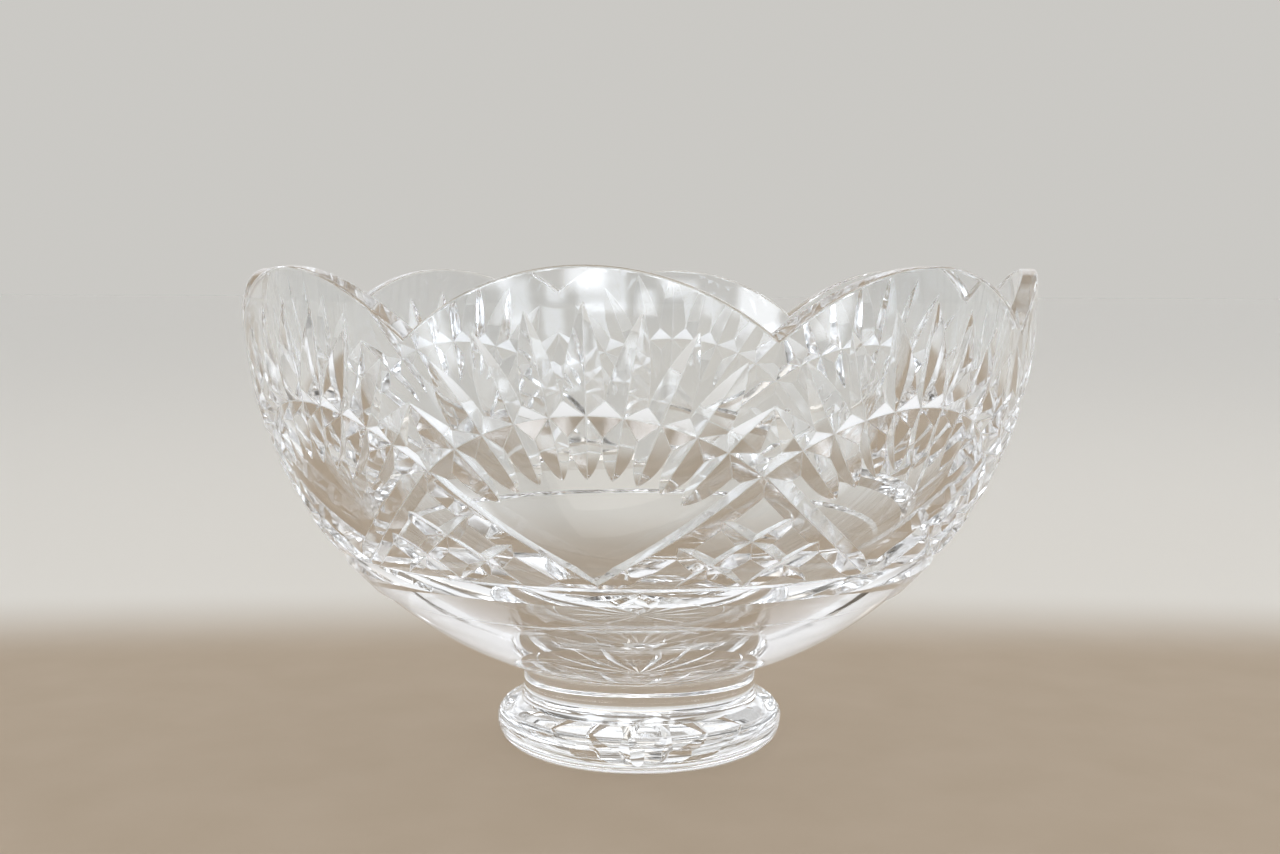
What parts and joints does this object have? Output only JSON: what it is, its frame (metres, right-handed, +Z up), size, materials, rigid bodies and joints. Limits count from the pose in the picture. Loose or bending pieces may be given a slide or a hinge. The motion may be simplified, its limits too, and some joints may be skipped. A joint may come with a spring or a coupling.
{
  "type": "punch bowl",
  "caption": "Footed punch bowl of clear cut glass with a scalloped rim, fan and lattice cutting, a waisted collar and a solid star-cut foot.",
  "frame": {"origin": "middle of the foot's resting face, on the axis of the bowl", "axes": "+Z up along the bowl's axis; -Y faces the middle of one rim scallop, and the others follow every 45 degrees"},
  "size_m": [0.2539, 0.254, 0.157],
  "materials": {
    "crystal": "polished clear crystal"
  },
  "bodies": {
    "root": {"bowl": "crystal", "collar": "crystal", "foot": "crystal"}
  },
  "joints": []
}
